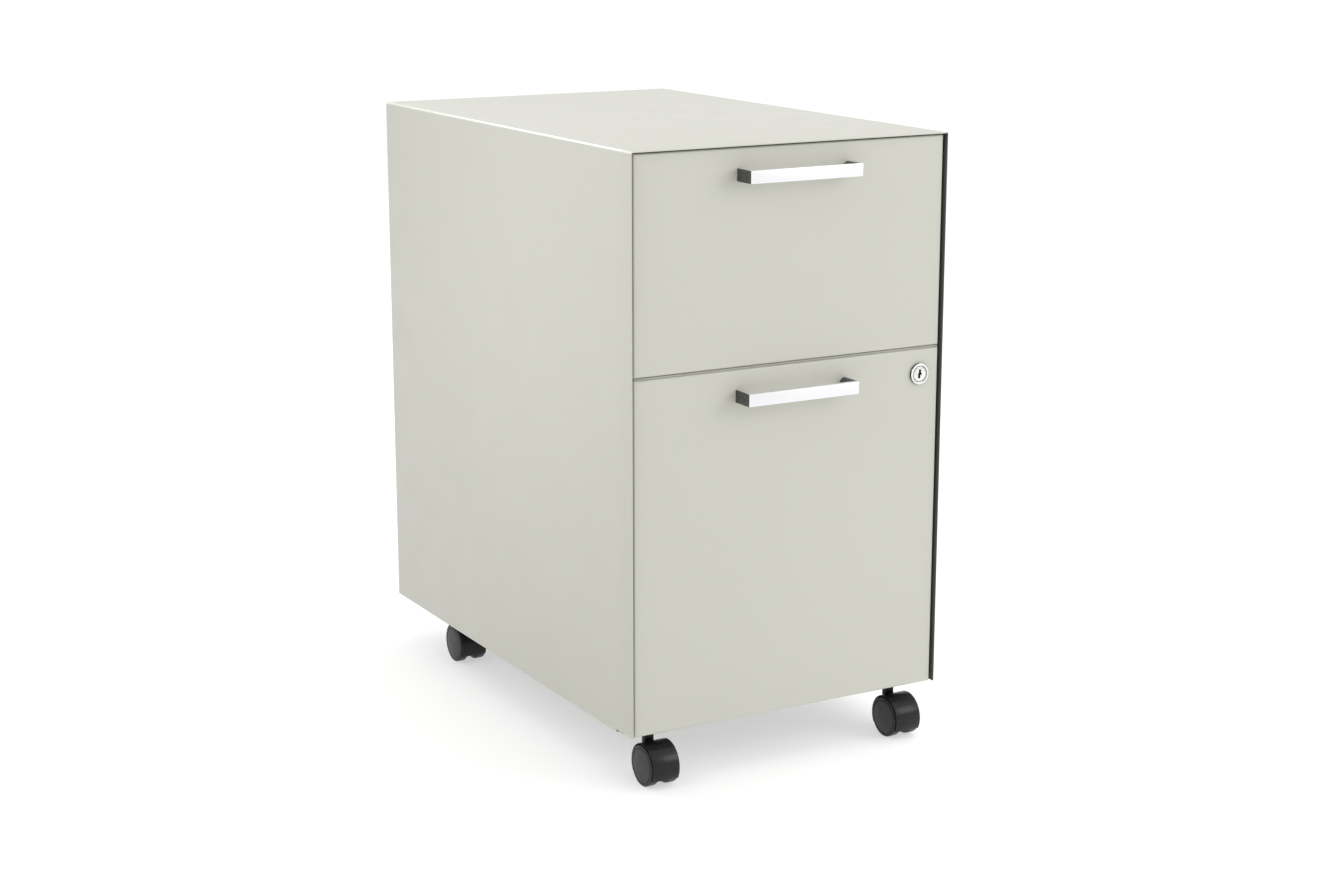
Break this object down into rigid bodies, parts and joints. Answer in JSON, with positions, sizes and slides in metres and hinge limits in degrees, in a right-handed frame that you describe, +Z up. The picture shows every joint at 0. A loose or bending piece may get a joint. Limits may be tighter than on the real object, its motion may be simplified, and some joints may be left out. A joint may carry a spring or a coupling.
{
  "type": "mobile filing cabinet",
  "caption": "Mobile filing cabinet in painted sheet steel, with a box drawer over a file drawer on ball-bearing slides, bar handles, a key lock and twin-wheel swivel casters.",
  "frame": {"origin": "on the floor, under the middle of the footprint, which runs from the handles' front to the case's back", "axes": "+Z up, the drawer fronts face -Y, +X is the side with the lock"},
  "size_m": [0.318, 0.5282, 0.558],
  "materials": {
    "case_paint": "fine powder coat, warm light grey",
    "dark_paint": "satin dark grey",
    "zinc_steel": "zinc plated",
    "handle_steel": "brushed, bright",
    "lock_chrome": "bright nickel",
    "caster_plastic": "satin black nylon",
    "guide_plastic": "black acetal",
    "cast_iron": "raw, dark"
  },
  "bodies": {
    "case": {"case_wrap": "case_paint", "back_panel": "case_paint", "bottom_pan": "dark_paint", "slide_uprights": "zinc_steel", "top_stiffener": "dark_paint", "base_channels": "zinc_steel", "caster_nuts": "zinc_steel", "caster_stems": "zinc_steel", "counterweight": "cast_iron", "counterweight_bolts": "zinc_steel", "lock_bar_guides": "guide_plastic", "box_slide_outer_left": "zinc_steel", "box_slide_outer_right": "zinc_steel", "file_slide_outer_left": "zinc_steel", "file_slide_outer_right": "zinc_steel"},
    "box_drawer": {"box_drawer_body": "case_paint", "box_drawer_front": "case_paint", "box_front_liner": "case_paint", "box_handle": "handle_steel", "box_handle_screws": "zinc_steel", "box_slide_inner_left": "zinc_steel", "box_slide_inner_right": "zinc_steel"},
    "file_drawer": {"file_drawer_body": "case_paint", "file_drawer_front": "case_paint", "file_front_liner": "case_paint", "file_handle": "handle_steel", "file_handle_screws": "zinc_steel", "file_slide_inner_left": "zinc_steel", "file_slide_inner_right": "zinc_steel", "folder_rails": "zinc_steel", "lock_housing": "lock_chrome", "lock_nut": "zinc_steel"},
    "lock_plug": {"lock_plug": "lock_chrome", "lock_cam": "zinc_steel"},
    "lock_bar": {"lock_bar": "zinc_steel"},
    "box_slide_middles": {"box_slide_middle_left": "zinc_steel", "box_slide_middle_right": "zinc_steel"},
    "box_rear_cages": {"box_rear_ball_cages": "zinc_steel"},
    "box_front_cages": {"box_front_ball_cages": "zinc_steel"},
    "file_slide_middles": {"file_slide_middle_left": "zinc_steel", "file_slide_middle_right": "zinc_steel"},
    "file_rear_cages": {"file_rear_ball_cages": "zinc_steel"},
    "file_front_cages": {"file_front_ball_cages": "zinc_steel"},
    "caster_front_left": {"hood_front_left": "caster_plastic", "axle_front_left": "zinc_steel"},
    "wheel_front_left_outer": {"wheel_front_left_outer": "caster_plastic"},
    "wheel_front_left_inner": {"wheel_front_left_inner": "caster_plastic"},
    "caster_front_right": {"hood_front_right": "caster_plastic", "axle_front_right": "zinc_steel"},
    "wheel_front_right_outer": {"wheel_front_right_outer": "caster_plastic"},
    "wheel_front_right_inner": {"wheel_front_right_inner": "caster_plastic"},
    "caster_rear_left": {"hood_rear_left": "caster_plastic", "axle_rear_left": "zinc_steel"},
    "wheel_rear_left_outer": {"wheel_rear_left_outer": "caster_plastic"},
    "wheel_rear_left_inner": {"wheel_rear_left_inner": "caster_plastic"},
    "caster_rear_right": {"hood_rear_right": "caster_plastic", "axle_rear_right": "zinc_steel"},
    "wheel_rear_right_outer": {"wheel_rear_right_outer": "caster_plastic"},
    "wheel_rear_right_inner": {"wheel_rear_right_inner": "caster_plastic"}
  },
  "joints": [
    {"name": "box_drawer_slide", "type": "slide", "parent": "case", "child": "box_drawer", "axis": [0, -1, 0], "range_m": [0, 0.4]},
    {"name": "box_middle_slide", "type": "slide", "parent": "case", "child": "box_slide_middles", "axis": [0, -1, 0], "range_m": [0, 0.2]},
    {"name": "box_rear_cage_slide", "type": "slide", "parent": "case", "child": "box_rear_cages", "axis": [0, -1, 0], "range_m": [0, 0.1]},
    {"name": "box_front_cage_slide", "type": "slide", "parent": "case", "child": "box_front_cages", "axis": [0, -1, 0], "range_m": [0, 0.3]},
    {"name": "file_drawer_slide", "type": "slide", "parent": "case", "child": "file_drawer", "axis": [0, -1, 0], "range_m": [0, 0.4]},
    {"name": "file_middle_slide", "type": "slide", "parent": "case", "child": "file_slide_middles", "axis": [0, -1, 0], "range_m": [0, 0.2]},
    {"name": "file_rear_cage_slide", "type": "slide", "parent": "case", "child": "file_rear_cages", "axis": [0, -1, 0], "range_m": [0, 0.1]},
    {"name": "file_front_cage_slide", "type": "slide", "parent": "case", "child": "file_front_cages", "axis": [0, -1, 0], "range_m": [0, 0.3]},
    {"name": "lock_turn", "type": "hinge", "parent": "file_drawer", "child": "lock_plug", "pos_m": [0.135, -0.24155, 0.3435], "axis": [0, -1, 0], "range_deg": [0, 90]},
    {"name": "lock_bar_rise", "type": "slide", "parent": "case", "child": "lock_bar", "axis": [0, 0, 1], "range_m": [0, 0.012]},
    {"name": "swivel_front_left", "type": "hinge", "parent": "case", "child": "caster_front_left", "pos_m": [-0.128, -0.21495, 0.048], "axis": [0, 0, 1], "continuous": true},
    {"name": "roll_front_left_outer", "type": "hinge", "parent": "caster_front_left", "child": "wheel_front_left_outer", "pos_m": [-0.128, -0.22895, 0.0185], "axis": [1, 0, 0], "continuous": true},
    {"name": "roll_front_left_inner", "type": "hinge", "parent": "caster_front_left", "child": "wheel_front_left_inner", "pos_m": [-0.128, -0.22895, 0.0185], "axis": [1, 0, 0], "continuous": true},
    {"name": "swivel_front_right", "type": "hinge", "parent": "case", "child": "caster_front_right", "pos_m": [0.128, -0.21495, 0.048], "axis": [0, 0, 1], "continuous": true},
    {"name": "roll_front_right_outer", "type": "hinge", "parent": "caster_front_right", "child": "wheel_front_right_outer", "pos_m": [0.128, -0.22895, 0.0185], "axis": [1, 0, 0], "continuous": true},
    {"name": "roll_front_right_inner", "type": "hinge", "parent": "caster_front_right", "child": "wheel_front_right_inner", "pos_m": [0.128, -0.22895, 0.0185], "axis": [1, 0, 0], "continuous": true},
    {"name": "swivel_rear_left", "type": "hinge", "parent": "case", "child": "caster_rear_left", "pos_m": [-0.128, 0.18005, 0.048], "axis": [0, 0, 1], "continuous": true},
    {"name": "roll_rear_left_outer", "type": "hinge", "parent": "caster_rear_left", "child": "wheel_rear_left_outer", "pos_m": [-0.128, 0.16605, 0.0185], "axis": [1, 0, 0], "continuous": true},
    {"name": "roll_rear_left_inner", "type": "hinge", "parent": "caster_rear_left", "child": "wheel_rear_left_inner", "pos_m": [-0.128, 0.16605, 0.0185], "axis": [1, 0, 0], "continuous": true},
    {"name": "swivel_rear_right", "type": "hinge", "parent": "case", "child": "caster_rear_right", "pos_m": [0.128, 0.18005, 0.048], "axis": [0, 0, 1], "continuous": true},
    {"name": "roll_rear_right_outer", "type": "hinge", "parent": "caster_rear_right", "child": "wheel_rear_right_outer", "pos_m": [0.128, 0.16605, 0.0185], "axis": [1, 0, 0], "continuous": true},
    {"name": "roll_rear_right_inner", "type": "hinge", "parent": "caster_rear_right", "child": "wheel_rear_right_inner", "pos_m": [0.128, 0.16605, 0.0185], "axis": [1, 0, 0], "continuous": true}
  ],
  "couplings": [
    {"joint": "box_middle_slide", "follows": "box_drawer_slide", "ratio": 0.5},
    {"joint": "box_rear_cage_slide", "follows": "box_drawer_slide", "ratio": 0.25},
    {"joint": "box_front_cage_slide", "follows": "box_drawer_slide", "ratio": 0.75},
    {"joint": "file_middle_slide", "follows": "file_drawer_slide", "ratio": 0.5},
    {"joint": "file_rear_cage_slide", "follows": "file_drawer_slide", "ratio": 0.25},
    {"joint": "file_front_cage_slide", "follows": "file_drawer_slide", "ratio": 0.75},
    {"joint": "lock_turn", "follows": "lock_bar_rise", "rad_per_m": 130.9}
  ]
}
